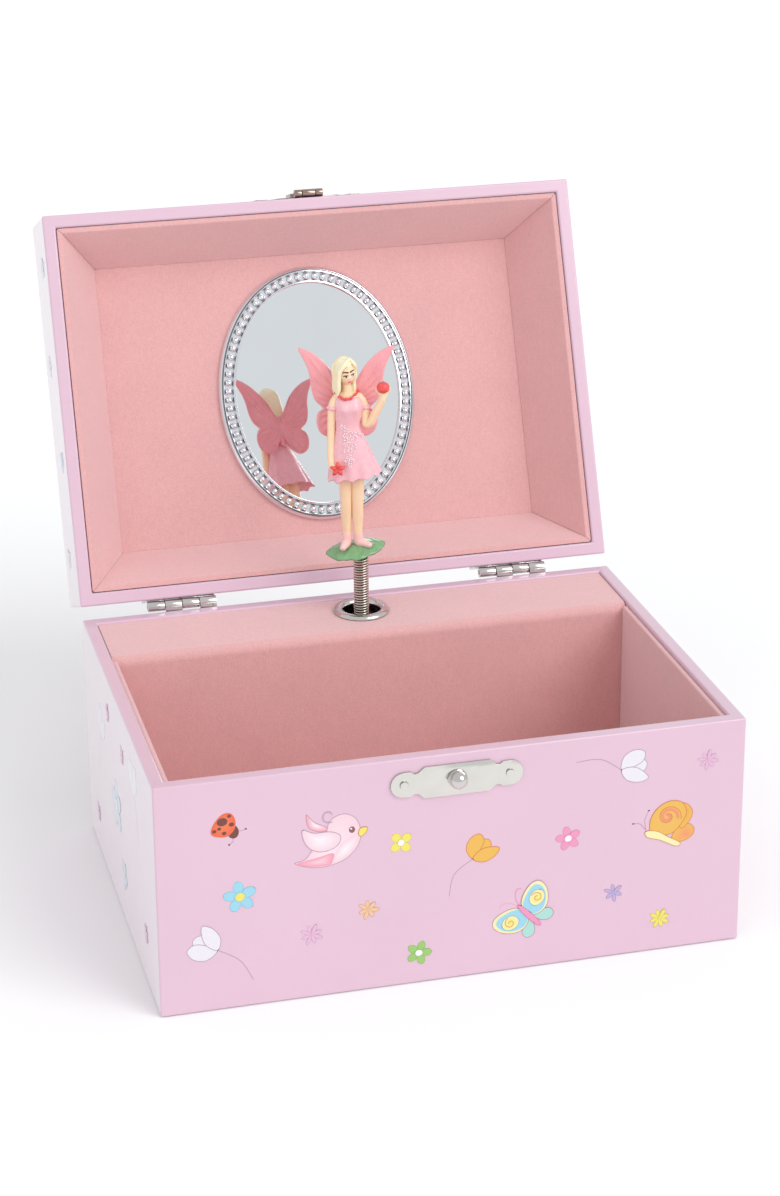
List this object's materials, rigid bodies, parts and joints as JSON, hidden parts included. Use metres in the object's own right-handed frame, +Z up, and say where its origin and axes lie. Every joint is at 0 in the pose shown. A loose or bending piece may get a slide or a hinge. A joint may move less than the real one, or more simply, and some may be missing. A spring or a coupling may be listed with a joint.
{
  "type": "musical jewellery box",
  "caption": "Musical jewellery box with a hinged mirrored lid, lined compartment, and a winged figure on a spring that turns with the wind-up movement.",
  "frame": {"origin": "middle of the underside of the box body", "axes": "+Z up; the catch is on the -Y face and the hinges on the +Y face; +X is to the right seen from the front"},
  "size_m": [0.15, 0.1759, 0.1659],
  "materials": {
    "paper_board": "board wrapped in satin lilac printed paper",
    "velour": "short dusty-pink velour",
    "nickel": "bright nickel plate",
    "silver_plastic": "vacuum-metallised plastic",
    "mirror": "polished",
    "steel": "bright drawn",
    "cast_bed": "as cast",
    "brass": "turned",
    "white_plastic": "moulded",
    "leaf_plastic": "glossy paint",
    "figure_plastic": "painted satin plastic",
    "wing_plastic": "satin plastic"
  },
  "bodies": {
    "box": {"box_front": "paper_board", "box_back": "paper_board", "box_left": "paper_board", "box_right": "paper_board", "box_bottom": "paper_board", "floor_lining": "velour", "front_lining": "velour", "left_lining": "velour", "right_lining": "velour", "music_ledge": "velour", "ledge_grommet": "nickel", "hinge_leaf_box_left": "nickel", "hinge_leaf_box_right": "nickel", "hinge_pins": "nickel", "box_nails": "nickel", "catch_plate": "nickel", "catch_knob": "nickel", "movement_bedplate": "cast_bed", "movement_screws": "steel", "music_comb": "steel", "comb_screws": "steel", "spring_housing": "steel", "mainspring": "steel", "cylinder_bracket_top": "steel", "cylinder_bracket_low": "steel", "governor_bracket": "steel"},
    "lid": {"lid_front": "paper_board", "lid_back": "paper_board", "lid_left": "paper_board", "lid_right": "paper_board", "lid_top": "paper_board", "lid_lining_front": "velour", "lid_lining_right": "velour", "lid_lining_back": "velour", "lid_lining_left": "velour", "lid_lining_panel": "velour", "mirror_frame": "silver_plastic", "mirror_glass": "mirror", "hinge_leaf_lid_left": "nickel", "hinge_leaf_lid_right": "nickel", "lid_nails": "nickel", "hasp_plate": "nickel", "hasp_pin": "nickel"},
    "hasp": {"hasp": "nickel"},
    "stop": {"stop_wire": "steel"},
    "spring": {"figure_spring_upper": "steel"},
    "figure": {"leaf_base": "leaf_plastic", "fairy_figure": "figure_plastic", "fairy_wings": "wing_plastic"},
    "winder": {"winding_key": "steel", "key_arbor": "steel", "crown_wheel": "brass"},
    "cylinder": {"pin_cylinder": "brass", "drive_pinion": "brass", "train_wheel": "brass", "figure_spindle": "steel", "figure_spring_lower": "steel"},
    "idler": {"idler_wheel": "white_plastic"},
    "governor": {"governor_fan": "white_plastic"}
  },
  "joints": [
    {"name": "lid_hinge", "type": "hinge", "parent": "box", "child": "lid", "pos_m": [0, 0.0553, 0.063], "axis": [1, 0, 0], "range_deg": [0, 112]},
    {"name": "hasp_hinge", "type": "hinge", "parent": "lid", "child": "hasp", "pos_m": [0, 0.09756, 0.16478], "axis": [1, 0, 0], "range_deg": [0, 176]},
    {"name": "key_turn", "type": "hinge", "parent": "box", "child": "winder", "pos_m": [0, 0.056, 0.019], "axis": [0, 1, 0], "continuous": true},
    {"name": "cylinder_turn", "type": "hinge", "parent": "box", "child": "cylinder", "pos_m": [0, 0.041, 0.044], "axis": [0, 0, 1], "continuous": true},
    {"name": "idler_turn", "type": "hinge", "parent": "box", "child": "idler", "pos_m": [-0.0084, 0.041, 0.044], "axis": [0, 0, 1], "continuous": true},
    {"name": "governor_spin", "type": "hinge", "parent": "box", "child": "governor", "pos_m": [-0.014, 0.038, 0.0339], "axis": [0, 1, 0], "continuous": true},
    {"name": "spring_bend", "type": "hinge", "parent": "box", "child": "spring", "pos_m": [0, 0.0389, 0.0685], "axis": [1, 0, 0], "range_deg": [0, 98.1]},
    {"name": "figure_spin", "type": "hinge", "parent": "spring", "child": "figure", "pos_m": [0, 0.041, 0.078], "axis": [0, 0, 1], "continuous": true},
    {"name": "stop_slide", "type": "slide", "parent": "box", "child": "stop", "axis": [0, 0, -1], "range_m": [0, 0.00231]}
  ],
  "couplings": [
    {"joint": "cylinder_turn", "follows": "key_turn", "ratio": 4},
    {"joint": "idler_turn", "follows": "key_turn", "ratio": -12.8},
    {"joint": "governor_spin", "follows": "key_turn", "ratio": -256},
    {"joint": "figure_spin", "follows": "key_turn", "ratio": 4},
    {"joint": "spring_bend", "follows": "lid_hinge", "ratio": 0.875},
    {"joint": "stop_slide", "follows": "lid_hinge", "m_per_rad": 0.0011766}
  ]
}
